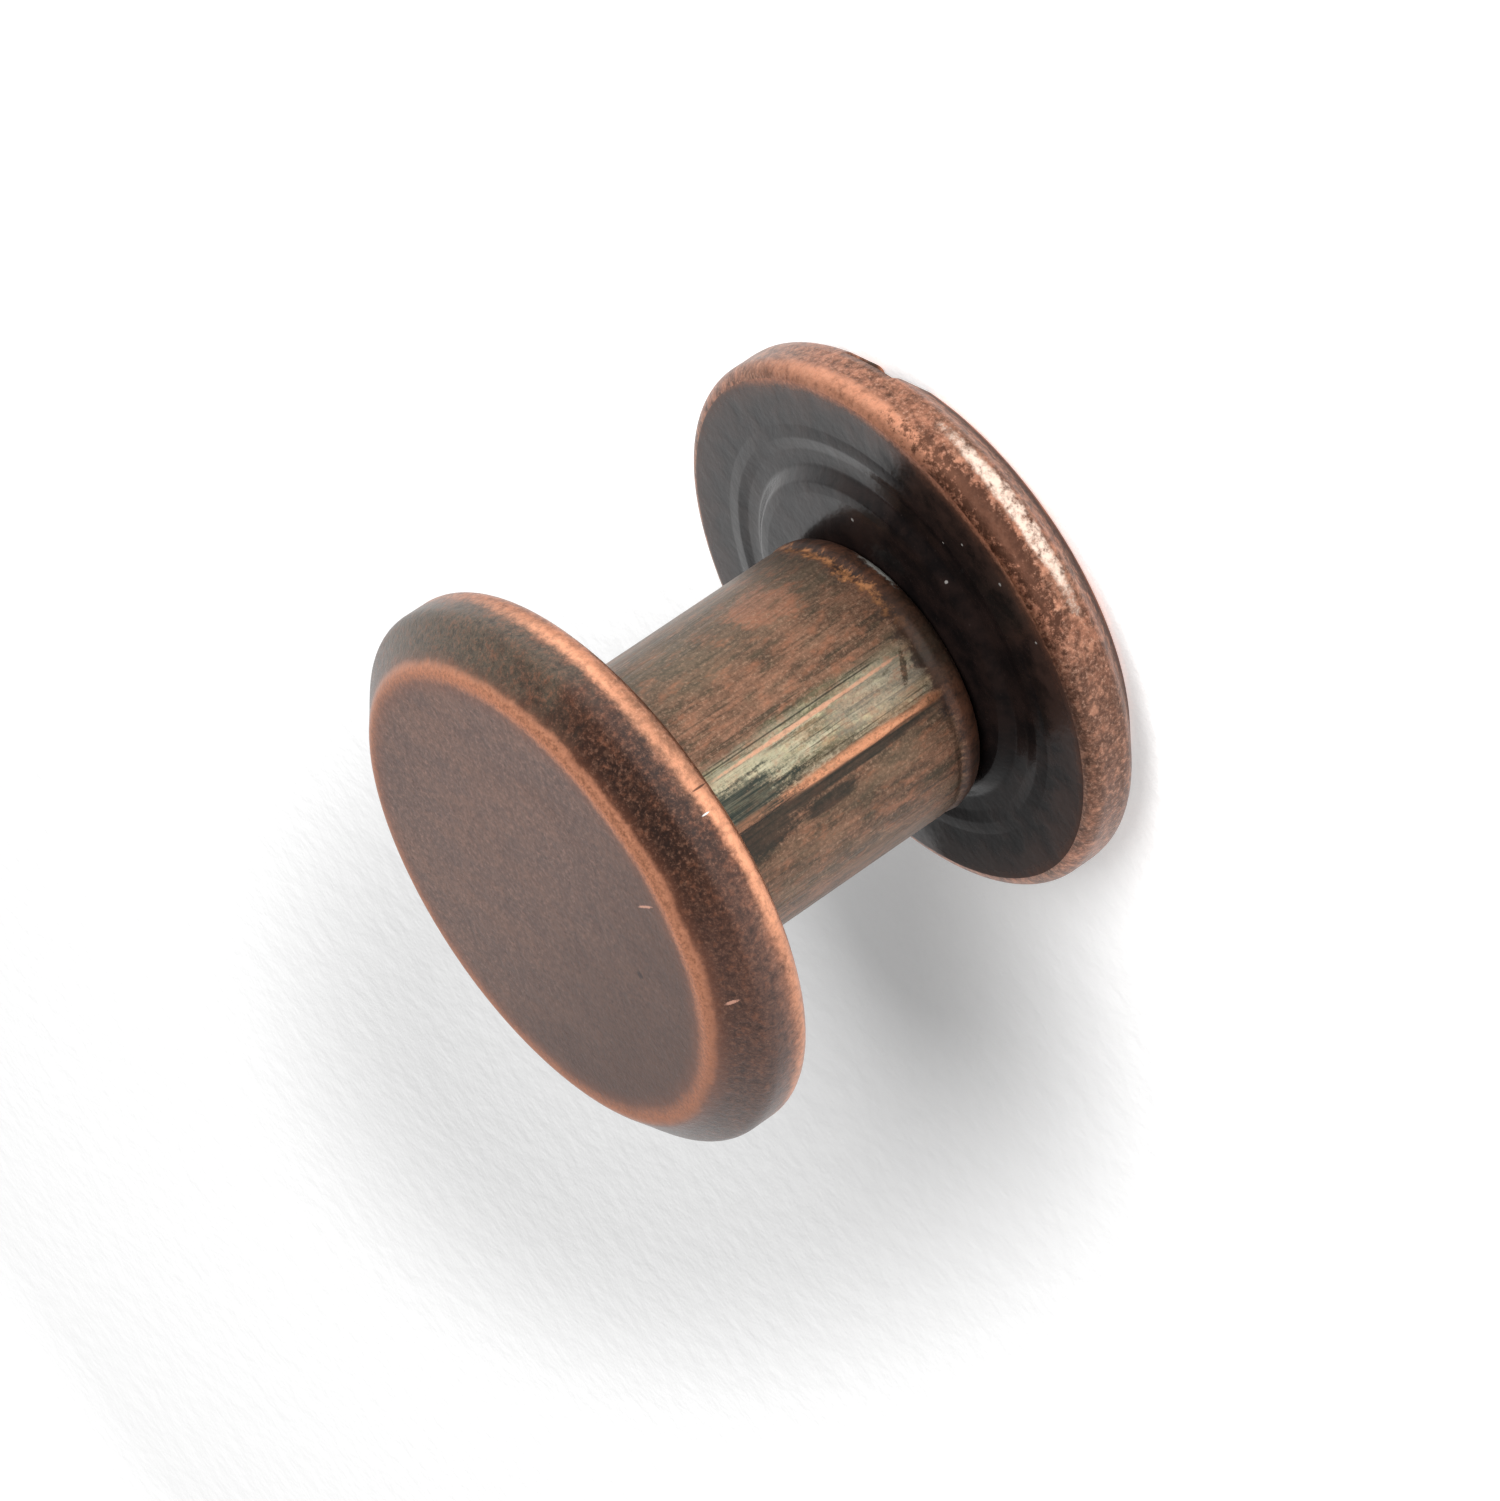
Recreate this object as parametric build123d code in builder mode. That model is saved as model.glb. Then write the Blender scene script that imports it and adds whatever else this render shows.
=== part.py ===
"""Binding barrel screw: a plain-headed post with a threaded barrel, and the slotted screw that fits it.

The two pieces stand as they are done up, on the screw's slotted head. The thread's axis is Z,
and the origin is on that axis, in the plane of the screw head's outer face. All in millimetres.
"""
import os
from math import cos, radians, sin

from build123d import *

# Both heads have one section
head_diameter = 10.0
head_height = 1.5
bevel_width = 0.75         # across the bevel, from the outer flat face's corner to the rim
rim_height = 0.85          # upright rim, from the underside to its corner with the bevel
face_edge_radius = 0.35
bevel_edge_radius = 0.35   # between the bevel and the rim
rim_radius = 0.28          # between the rim and the underside

# Barrel of the post
barrel_diameter = 5.15
barrel_length = 6.0
mouth_radius = 0.35        # rounding of the barrel's open end
seam_width = 0.3           # drawing ridge along the barrel
seam_height = 0.06
seam_angle = 291.0         # degrees from +X, anticlockwise seen from above

# Threaded shank of the screw, drawn at its crests
thread_diameter = 4.0
thread_clearance = 0.05    # radial, between the shank and the bore
shank_length = 4.9         # free length above the seat pad
shank_chamfer = 0.4
tip_clearance = 0.6        # between the shank's tip and the end of the bore's straight wall
bore_chamfer = 0.15
drill_angle = 118.0        # point of the drill that made the bore

# Underside of the screw's head
head_offset = 0.6          # how far the head stands off the shank's axis, along +X
pad_margin = 0.475         # how far the low turned pad reaches past the barrel that closes on it
pad_height = 0.2
pad_chamfer = 0.12
ring_gap = 0.6             # from the pad's edge to the middle of the low turned ring round it
ring_width = 0.35
ring_height = 0.05

# Screwdriver slot
slot_width = 1.2
slot_depth = 0.7

# Places that follow
head_radius = head_diameter / 2
face_radius = head_radius - bevel_width
barrel_radius = barrel_diameter / 2
shank_radius = thread_diameter / 2
bore_radius = shank_radius + thread_clearance
pad_top = head_height + pad_height
barrel_top = pad_top + barrel_length
overall_height = barrel_top + head_height
bore_length = shank_length + tip_clearance
pad_radius = barrel_radius + pad_margin
ring_radius = pad_radius + ring_gap
head_centre = (head_offset, 0, 0)

os.makedirs("parts", exist_ok=True)


# Half-section of a head: X is the radius, Y the height above the outer face
with BuildSketch() as head_section:
    with BuildLine():
        Polyline(
            (0, 0),
            (face_radius, 0),
            (head_radius, head_height - rim_height),
            (head_radius, head_height),
            (0, head_height),
            close=True,
        )
    make_face()
    rim_corner = head_section.vertices().group_by(Axis.Y)[-1].sort_by(Axis.X)[-1]
    fillet(rim_corner, radius=rim_radius)
    face_corner = head_section.vertices().group_by(Axis.Y)[0].sort_by(Axis.X)[-1]
    fillet(face_corner, radius=face_edge_radius)
    bevel_corner = head_section.vertices().group_by(Axis.X)[-1].sort_by(Axis.Y)[0]
    fillet(bevel_corner, radius=bevel_edge_radius)


# Half-section of the bore: X is the radius, Y the depth from the barrel's mouth
with BuildSketch() as bore_section:
    drill_point = bore_radius / sin(radians(drill_angle / 2)) * cos(radians(drill_angle / 2))
    with BuildLine():
        Polyline(
            (0, 0),
            (bore_radius + bore_chamfer, 0),
            (bore_radius, bore_chamfer),
            (bore_radius, bore_length),
            (0, bore_length + drill_point),
            close=True,
        )
    make_face()


# Post: plain head above, barrel hanging from it
post_head_plane = Plane(origin=(0, 0, overall_height), x_dir=(1, 0, 0), z_dir=(0, 1, 0))
mouth_plane = Plane(origin=(0, 0, pad_top), x_dir=(1, 0, 0), z_dir=(0, -1, 0))

with BuildPart() as post:
    with BuildSketch(post_head_plane):
        add(head_section.sketch)
    revolve(axis=Axis.Z)
    with BuildSketch(Plane.XY.offset(pad_top)):
        Circle(barrel_radius)
    extrude(amount=barrel_length)
    mouth_edge = post.edges().filter_by(GeomType.CIRCLE).group_by(Axis.Z)[0]
    fillet(mouth_edge, radius=mouth_radius)
    # the seam stops where the mouth's rounding starts
    seam_depth = seam_width / 2
    with BuildSketch(Plane.XY.offset(pad_top + mouth_radius)):
        with PolarLocations(barrel_radius + seam_height - seam_depth, 1, start_angle=seam_angle):
            Circle(seam_depth)
    extrude(amount=barrel_length - mouth_radius)
    with BuildSketch(mouth_plane):
        add(bore_section.sketch)
    revolve(axis=Axis.Z, mode=Mode.SUBTRACT)

post.part.label = "post"
export_step(post.part, "parts/post.step")


# Screw: slotted head below, standing off centre to its shank
screw_head_plane = Plane(origin=head_centre, x_dir=(1, 0, 0), z_dir=(0, -1, 0))
head_axis = Axis(origin=head_centre, direction=(0, 0, 1))

with BuildPart() as screw:
    with BuildSketch(screw_head_plane):
        add(head_section.sketch)
    revolve(axis=head_axis)
    # turned ring and seat pad on the underside, centred on the head
    with BuildSketch(Plane.XY.offset(head_height)):
        with Locations(head_centre):
            Circle(ring_radius + ring_width / 2)
            Circle(ring_radius - ring_width / 2, mode=Mode.SUBTRACT)
    extrude(amount=ring_height)
    with BuildSketch(Plane.XY.offset(head_height)):
        with Locations(head_centre):
            Circle(pad_radius)
    extrude(amount=pad_height)
    pad_edge = screw.edges().filter_by(GeomType.CIRCLE).group_by(Axis.Z)[-1]
    chamfer(pad_edge, length=pad_chamfer)
    # shank
    with BuildSketch(Plane.XY.offset(pad_top)):
        Circle(shank_radius)
    extrude(amount=shank_length)
    tip_edge = screw.edges().filter_by(GeomType.CIRCLE).group_by(Axis.Z)[-1]
    chamfer(tip_edge, length=shank_chamfer)
    # driver slot, sawn right across the head
    with BuildSketch(Plane.XY):
        with Locations(head_centre):
            Rectangle(head_diameter, slot_width)
    extrude(amount=slot_depth, mode=Mode.SUBTRACT)

screw.part.label = "screw"
export_step(screw.part, "parts/screw.step")
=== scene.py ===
import math
from typing import NamedTuple

import bmesh
import bpy
import numpy as np
from mathutils import Matrix, Vector, noise


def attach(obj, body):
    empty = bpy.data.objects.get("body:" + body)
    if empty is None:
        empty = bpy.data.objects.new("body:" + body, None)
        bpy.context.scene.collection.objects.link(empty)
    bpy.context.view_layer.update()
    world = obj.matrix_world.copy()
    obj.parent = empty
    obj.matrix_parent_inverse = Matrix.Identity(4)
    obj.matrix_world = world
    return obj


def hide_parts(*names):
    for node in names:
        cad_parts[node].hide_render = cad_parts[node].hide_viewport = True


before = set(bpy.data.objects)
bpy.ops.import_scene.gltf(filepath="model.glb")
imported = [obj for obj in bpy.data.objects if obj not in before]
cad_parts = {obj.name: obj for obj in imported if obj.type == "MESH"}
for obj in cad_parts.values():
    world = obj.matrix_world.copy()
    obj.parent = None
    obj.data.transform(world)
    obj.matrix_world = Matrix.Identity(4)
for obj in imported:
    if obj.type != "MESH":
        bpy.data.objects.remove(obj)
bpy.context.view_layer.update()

MM = 0.001

# Sizes in millimetres, as the solids have them
HEAD_R = 5.0
HEAD_H = 1.5
BEVEL_W = 0.75
RIM_H = 0.85
FACE_EDGE = 0.35           # rounding between the face and the bevel
BEVEL_EDGE = 0.35          # between the bevel and the rim
RIM_EDGE = 0.28            # between the rim and the underside
BARREL_R = 2.575
BARREL_L = 6.0
MOUTH_EDGE = 0.35
SEAM_ANGLE = 291.0
SEAM_H = 0.06
BORE_R = 2.05
BORE_L = 5.5
BORE_CHAMFER = 0.15
CREST_R = 2.0              # crests of the shank's thread
SHANK_L = 4.9
SHANK_CHAMFER = 0.4
HEAD_OFFSET = 0.6          # how far the screw's head stands off its shank, along +X
PAD_R = 3.05
PAD_H = 0.2
RING_R = 3.65
RING_H = 0.05
SLOT_W = 1.2
SLOT_D = 0.7

# Places that follow
PAD_TOP = HEAD_H + PAD_H
BARREL_TOP = PAD_TOP + BARREL_L
TOP = BARREL_TOP + HEAD_H
SHANK_TIP = PAD_TOP + SHANK_L
BORE_END = PAD_TOP + BORE_L

# Thread, which the solids leave plain
PITCH = 0.7
ROOT_R = 1.57
BORE_CREST_R = 1.65
CREST_FLAT = 0.044         # half the width of a crest
FLANK_SLOPE = math.sqrt(3)     # depth for each millimetre along the axis, on a 60 degree thread
THREAD_ROWS = 14           # rings of points for each turn

# Fine shape that only the scene has, in millimetres, and degrees from +X
DRAWN_IN = 0.012           # how far the uneven barrel stays inside the plain one
FACET_ANGLE = 303.5        # middle of the flat drawn along the barrel, beside the seam
FACET_HALF = 11.5
HAIRLINE_ANGLE = 315.0     # thin groove above the flat
HAIRLINE_D = 0.010
LIP_Z = PAD_TOP + 0.40     # raised lip round the barrel's mouth
LIP_H = 0.024
LIP_GROOVE_Z = PAD_TOP + 0.58
LIP_GROOVE_D = 0.016
NICK_ANGLE = 312.2         # nick in the near rim
NICK_Z = 7.92
NICK_D = 0.035
RIM_WOBBLE = 0.012
FACE_SINK = 0.006          # most that the plain head's face is rubbed down
UNDER_WAVE = 0.004         # unevenness of the turned underside
SAW_RIPPLE = 0.006         # along the middle of the slot's floor
SLOT_LIP = 0.05            # rounding of the slot's edges
SLOT_FOOT = 0.09           # rounding along its floor
SLOT_EDGE = SLOT_W / 2 + SLOT_LIP
RIM_ZONE_R = 3.9           # from here out, a head's skin counts as its rim


# Shapes

def profile(corners, reach=0.2, arc=0.17):
    """Points along a line through corners (r, z, rounding), at most a reach or an arc in radians apart."""
    made = [np.array(corners[0][:2], float)]

    def run_to(end):
        start = made[-1]
        steps = max(1, math.ceil(np.linalg.norm(end - start) / reach))
        made.extend(start + (end - start) * step / steps for step in range(1, steps + 1))

    for before, (r, z, rounding), after in zip(corners, corners[1:], corners[2:]):
        corner = np.array([r, z], float)
        if rounding == 0:
            run_to(corner)
            continue
        back, on = np.array(before[:2]) - corner, np.array(after[:2]) - corner
        back, on = back / np.linalg.norm(back), on / np.linalg.norm(on)
        turn = math.pi - math.acos(np.clip(back @ on, -1, 1))
        tangent = rounding * math.tan(turn / 2)
        centre = corner + (back + on) / np.linalg.norm(back + on) * rounding / math.cos(turn / 2)
        first, last = corner + back * tangent - centre, corner + on * tangent - centre
        run_to(centre + first)
        steps = max(3, math.ceil(turn / arc))
        for step in range(1, steps + 1):
            part = step / steps
            spoke = math.sin((1 - part) * turn) * first + math.sin(part * turn) * last
            made.append(centre + spoke / math.sin(turn))
    run_to(np.array(corners[-1][:2], float))
    return made


class Shape:
    """A mesh put together from grids of points in millimetres, then welded."""

    WELD = 2e-4

    def __init__(self):
        self.points, self.faces = [], []

    def grid(self, rows, closed=False):
        """Add rows of points as quads. closed joins the last column to the first."""
        rows = np.asarray(rows, float)
        row_count, column_count = rows.shape[:2]
        base = len(self.points)
        self.points.extend(map(tuple, rows.reshape(-1, 3)))
        for row in range(row_count - 1):
            low, high = base + row * column_count, base + (row + 1) * column_count
            for column in range(column_count if closed else column_count - 1):
                beside = (column + 1) % column_count
                self.faces.append((low + column, low + beside, high + beside, high + column))

    def make(self, name):
        mesh = bpy.data.meshes.new(name)
        mesh.from_pydata([(x * MM, y * MM, z * MM) for x, y, z in self.points], [], self.faces)
        welded = bmesh.new()
        welded.from_mesh(mesh)
        bmesh.ops.remove_doubles(welded, verts=welded.verts, dist=self.WELD * MM)
        bmesh.ops.dissolve_degenerate(welded, dist=self.WELD * MM, edges=welded.edges)
        bmesh.ops.recalc_face_normals(welded, faces=welded.faces)
        welded.to_mesh(mesh)
        welded.free()
        mesh.polygons.foreach_set("use_smooth", [True] * len(mesh.polygons))
        return add_object(name, mesh)


def add_object(name, data):
    made = bpy.data.objects.new(name, data)
    bpy.context.scene.collection.objects.link(made)
    return made


def smooth(x, low, high):
    """Smooth step from 0 at low to 1 at high."""
    part = np.clip((x - low) / (high - low), 0, 1)
    return part * part * (3 - 2 * part)


def hump(x, centre, width):
    return math.exp(-((x - centre) / width) ** 2)


def near(angles, degrees, width):
    """1 at a direction, falling to 0 a width in degrees away on each side."""
    off = np.abs((np.degrees(angles) - degrees + 180) % 360 - 180)
    return smooth(width - off, 0, width)


def wobble(angles, z, seed, scale):
    """Slow unevenness along a ring, from about -1 to 1."""
    return np.array([
        noise.noise(Vector((math.cos(a) * scale + seed, math.sin(a) * scale - seed, z * 0.4 * scale)))
        for a in angles
    ])


def ring(angles, r, z, centre=0.0):
    """Points at the given angles, with one radius and height for all or one for each."""
    r = np.broadcast_to(r, angles.shape)
    z = np.broadcast_to(z, angles.shape)
    return np.stack([centre + r * np.cos(angles), r * np.sin(angles), z], axis=1)


def flank(angles, z):
    """Distance along the axis from the nearest crest of a right-hand thread."""
    turn = (z / PITCH - angles / (2 * math.pi)) % 1.0
    return np.minimum(turn, 1 - turn) * PITCH


# Post

def post_angles():
    """Columns round the post, closer together at the seam and at the nick in the rim."""
    seam_half, nick_half = 7.0, 1.0
    even = np.arange(0, 360, 1.25)
    plain = (abs(even - SEAM_ANGLE) > seam_half) & (abs(even - NICK_ANGLE) > nick_half)
    seam = np.arange(SEAM_ANGLE - seam_half, SEAM_ANGLE + seam_half, 0.4)
    nick = np.arange(NICK_ANGLE - nick_half, NICK_ANGLE + nick_half, 0.2)
    return np.radians(np.unique(np.round(np.concatenate([even[plain], seam, nick]), 3)))


def barrel_radius(angles, z):
    """The drawn barrel: uneven, with a facet, a raised seam, a hairline groove and a lip at its mouth."""
    degrees = np.degrees(angles) % 360
    r = np.full(angles.shape, BARREL_R - DRAWN_IN)
    r += 0.010 * wobble(angles, 0.05 * z, seed=3.0, scale=2.2)
    r += 0.005 * wobble(angles, 0.02 * z, seed=8.0, scale=16.0)

    from_facet = degrees - FACET_ANGLE
    chord = (BARREL_R - DRAWN_IN) * math.cos(math.radians(FACET_HALF)) / np.cos(np.radians(from_facet))
    r = np.where(np.abs(from_facet) < FACET_HALF, 0.55 * chord + 0.45 * r, r)

    # the seam wanders and swells along the barrel, and runs out before the mouth
    from_seam = degrees - SEAM_ANGLE + 0.35 * math.sin(z * 1.9) + 0.25 * math.sin(z * 5.1 + 1)
    rise = smooth(from_seam, -1.3, 0.2) * (1 - smooth(from_seam, 0.8, 4.2))
    swell = 0.75 + 0.25 * math.sin(z * 2.3 + 0.6)
    run_out = smooth(z, PAD_TOP + 0.5, PAD_TOP + 1.0)
    r += (SEAM_H + DRAWN_IN) * rise * swell * run_out
    r -= 0.020 * near(angles, SEAM_ANGLE - 2.6, 1.5) * run_out
    r -= HAIRLINE_D * near(angles, HAIRLINE_ANGLE, 0.6) * run_out

    ragged = 0.7 + 0.9 * wobble(angles, 0.3, seed=6.0, scale=5.0)
    r += LIP_H * ragged * hump(z, LIP_Z, 0.08)
    r -= LIP_GROOVE_D * ragged * hump(z, LIP_GROOVE_Z, 0.06)
    return r


def post_ring(angles, r, z):
    """A ring of the post's skin, as uneven as its place on the head or the barrel asks."""
    on_head = r > BARREL_R + 0.03 and z > BARREL_TOP - 0.001
    on_barrel = r > BORE_R + 0.3 and z < BARREL_TOP - 0.05
    if on_head:
        uneven = smooth(r, 3.6, 4.9) * RIM_WOBBLE * (wobble(angles, z, seed=1.0, scale=1.6) - 0.4)
        nick = NICK_D * near(angles, NICK_ANGLE, 0.7) * hump(z, NICK_Z, 0.16)
        sunk = 0.0
        if z > TOP - 0.4:
            sunk = FACE_SINK * (1 + wobble(angles, r, seed=5.0, scale=1.2)) * smooth(r, 0, 2)
        return ring(angles, r + uneven - nick, z - sunk)
    if on_barrel:
        return ring(angles, r + barrel_radius(angles, z) - BARREL_R, z)
    return ring(angles, r, z)


def bore_rings(angles):
    """The bore's thread, fading out at both ends of the straight wall, then the drill's point."""
    low, high = PAD_TOP + BORE_CHAMFER, BORE_END
    rings = []
    for z in np.arange(low + 0.02, high, PITCH / THREAD_ROWS):
        thread = CREST_R - (flank(angles, z) - CREST_FLAT) * FLANK_SLOPE + 0.06
        thread = np.clip(thread, BORE_CREST_R, BORE_R)
        fade = smooth(z, low, low + 0.35) * (1 - smooth(z, high - 0.5, high - 0.05))
        rings.append(ring(angles, BORE_R + (thread - BORE_R) * fade, z))
    rings.append(ring(angles, BORE_R - 0.02, high))
    rings.append(ring(angles, BORE_R / 2, high + 0.6))
    rings.append(ring(angles, 0.0, high + 1.2))
    return rings


def post_mesh():
    angles = post_angles()
    lip_rows = [(BARREL_R, PAD_TOP + 0.80 - 0.04 * row, 0) for row in range(11)]
    skin = profile([
        (0.0, TOP, 0),
        (HEAD_R - BEVEL_W, TOP, FACE_EDGE),
        (HEAD_R, BARREL_TOP + RIM_H, BEVEL_EDGE),
        (HEAD_R, BARREL_TOP, RIM_EDGE),
        (BARREL_R + 0.02, BARREL_TOP, 0.08),
        (BARREL_R, BARREL_TOP - 0.1, 0),
        *lip_rows,
        (BARREL_R, PAD_TOP, MOUTH_EDGE),
        (BORE_R + BORE_CHAMFER, PAD_TOP, 0.03),
        (BORE_R, PAD_TOP + BORE_CHAMFER, 0),
    ])
    shape = Shape()
    shape.grid([post_ring(angles, r, z) for r, z in skin] + bore_rings(angles), closed=True)
    return shape.make("post_copper")


# Screw

def slot_section(depth):
    """Across the slot where it is so deep: (y, distance down), from one rounded edge to the other."""
    wall_y = SLOT_W / 2
    lip, foot = min(SLOT_LIP, depth / 2), min(SLOT_FOOT, depth / 2)
    curve = [((1 - t) ** 2, 2 * t * (1 - t), t * t) for t in (0, 0.33, 0.67, 1)]
    edge = [(start * SLOT_EDGE + (bend + end) * wall_y, end * lip) for start, bend, end in curve]
    wall = [(wall_y, lip + (depth - foot - lip) * step / 4) for step in range(1, 5)]
    root = [
        (wall_y - end * foot, start * (depth - foot) + (bend + end) * depth)
        for start, bend, end in curve[1:]
    ]
    floor = [((wall_y - foot) * (1 - step / 4), depth) for step in range(1, 5)]
    one_side = edge + wall + root + floor
    return one_side + [(-y, down) for y, down in one_side[-2::-1]]


def slotted_face(shape):
    """Add the face and bevel, as far up as the slot's floor: two halves, and the slot between them.

    Returns the ring that all three end in, about the head's centre line.
    """
    line = profile([
        (0.0, 0.0, 0),
        (HEAD_R - BEVEL_W, 0.0, FACE_EDGE),
        (HEAD_R, HEAD_H - RIM_H, BEVEL_EDGE),
        (HEAD_R, HEAD_H, 0),
    ])
    below = [point for point in line if point[1] < SLOT_D]
    above = next(point for point in line if point[1] > SLOT_D)
    share = (SLOT_D - below[-1][1]) / (above[1] - below[-1][1])
    end = below[-1] + (above - below[-1]) * share
    beyond_slot = [point for point in below if point[0] > SLOT_EDGE + 0.03]
    stations = [np.array([SLOT_EDGE, 0.0])] + beyond_slot + [end]

    half = []
    for r, z in stations:
        start = math.asin(min(1.0, SLOT_EDGE / r))
        half.append(ring(np.linspace(start, math.pi - start, 121), r, z))
    half = np.array(half)
    other_half = half * (-1, -1, 1)

    # the saw cut, station by station from one end to the other; its sections curve with the rim
    end_r = end[0]
    end_x = math.sqrt(end_r ** 2 - SLOT_EDGE ** 2)
    slot = []
    for way, run in ((-1, stations[:0:-1]), (1, stations)):
        for r, z in run:
            x = way * math.sqrt(max(r ** 2 - SLOT_EDGE ** 2, 0))
            section = slot_section(SLOT_D - z)
            slot.append([(x * math.sqrt(end_r ** 2 - y ** 2) / end_x, y, z + down) for y, down in section])
    slot = np.array(slot)
    x, y, z = slot[:, :, 0], slot[:, :, 1], slot[:, :, 2]
    middle = (1 - np.abs(y) / (SLOT_W / 2)).clip(0, 1)
    on_floor = z > SLOT_D - 0.04
    slot[:, :, 2] += SAW_RIPPLE * middle * np.sin(x * 9) * on_floor

    to_place = (HEAD_OFFSET, 0, 0)
    for grid in (half, other_half, slot):
        shape.grid(grid + to_place)
    return np.concatenate([slot[-1, ::-1], half[-1, 1:], slot[0, 1:], other_half[-1, 1:-1]])


def under_rings(angles, start_r):
    """From the height of the slot's floor up the rim and in over the turned ring and the seat pad."""
    line = profile([
        (start_r, SLOT_D, 0),
        (HEAD_R, SLOT_D + 0.12, 0.1),
        (HEAD_R, HEAD_H, RIM_EDGE),
        (RING_R + 0.26, HEAD_H, 0.4),                    # foot of the ring
        (RING_R + 0.02, HEAD_H + 0.45 * RING_H, 0.2),    # its soft crown
        (RING_R - 0.20, HEAD_H - 0.006, 0.3),            # shallow groove inside it
        (PAD_R + 0.10, HEAD_H, 0.15),                    # foot of the pad
        (PAD_R - 0.12, PAD_TOP - 0.03, 0.12),            # its rounded edge
        (PAD_R - 0.32, PAD_TOP - 0.01, 0.2),
        (BARREL_R - 0.15, PAD_TOP - 0.01, 0),            # hidden under the barrel
    ], reach=0.15)
    rings = []
    for r, z in line[1:]:
        uneven, lifted = 0.0, 0.0
        if r > RIM_ZONE_R:
            uneven = smooth(z, SLOT_D, SLOT_D + 0.2) * RIM_WOBBLE
            uneven = uneven * (wobble(angles, z, seed=12.0, scale=1.6) - 0.4)
        if r < 4.7 and z > HEAD_H - 0.02:
            lifted = UNDER_WAVE * wobble(angles, r * 2, seed=21.0, scale=1.5)
        rings.append(ring(angles, r + uneven, z + lifted, HEAD_OFFSET))
    return rings


def shank_rings(angles):
    """From the seat pad onto the shank's own axis, then the thread up to its chamfered tip."""
    rings = [ring(angles, r, PAD_TOP - 0.01) for r in (2.2, 2.08)]
    rings.append(ring(angles, 1.97, PAD_TOP))
    for z in np.arange(PAD_TOP, SHANK_TIP + 1e-6, PITCH / THREAD_ROWS)[1:]:
        thread = np.clip(CREST_R - (flank(angles, z) - CREST_FLAT) * FLANK_SLOPE, ROOT_R, CREST_R)
        fade = smooth(z, PAD_TOP, PAD_TOP + 0.3)
        chamfer = min(CREST_R, CREST_R - SHANK_CHAMFER + SHANK_TIP - z)
        rings.append(ring(angles, np.minimum(CREST_R + (thread - CREST_R) * fade, chamfer), z))
    rings.extend(ring(angles, r, SHANK_TIP) for r in (1.45, 0.7, 0.0))
    return rings


def screw_mesh():
    shape = Shape()
    shared = slotted_face(shape)
    angles = np.arctan2(shared[:, 1], shared[:, 0])
    shared_r = math.hypot(shared[0, 0], shared[0, 1])
    rings = [shared + (HEAD_OFFSET, 0, 0)] + under_rings(angles, shared_r) + shank_rings(angles)
    shape.grid(rings, closed=True)
    return shape.make("screw_copper")


# Materials

class Nodes:
    """Shader nodes, made by calls that take sockets or plain values and return sockets."""

    def __init__(self, tree):
        self.nodes, self.links = tree.nodes, tree.links

    def put(self, socket, value):
        if isinstance(value, bpy.types.NodeSocket):
            self.links.new(value, socket)
        elif socket.type == "RGBA":
            socket.default_value = (*value, 1.0)
        else:
            socket.default_value = value

    def new(self, kind, inputs, **settings):
        """A node with its settings. inputs holds values by the inputs' names or numbers."""
        node = self.nodes.new("ShaderNode" + kind)
        for setting, value in settings.items():
            setattr(node, setting, value)
        for socket, value in inputs.items():
            self.put(node.inputs[socket], value)
        return node

    def math(self, operation, *values):
        return self.new("Math", dict(enumerate(values)), operation=operation).outputs[0]

    def add(self, a, b):
        return self.math("ADD", a, b)

    def most(self, a, b):
        return self.math("MAXIMUM", a, b)

    def times(self, a, *more):
        for b in more:
            a = self.math("MULTIPLY", a, b)
        return a

    def step(self, x, low, high, at_low=0.0, at_high=1.0):
        """Smooth step from at_low where x is low to at_high where it is high."""
        values = (x, low, high, at_low, at_high)
        return self.new("MapRange", dict(enumerate(values)), interpolation_type="SMOOTHSTEP").outputs[0]

    def fall(self, x, low, high, amount=1.0):
        """Smooth step down from an amount where x is low to 0 where it is high."""
        return self.step(x, low, high, amount, 0.0)

    def mix(self, share, a, b):
        """Colour a, with a share of colour b in it."""
        return self.new("Mix", {0: share, 6: a, 7: b}, data_type="RGBA").outputs[2]


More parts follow.
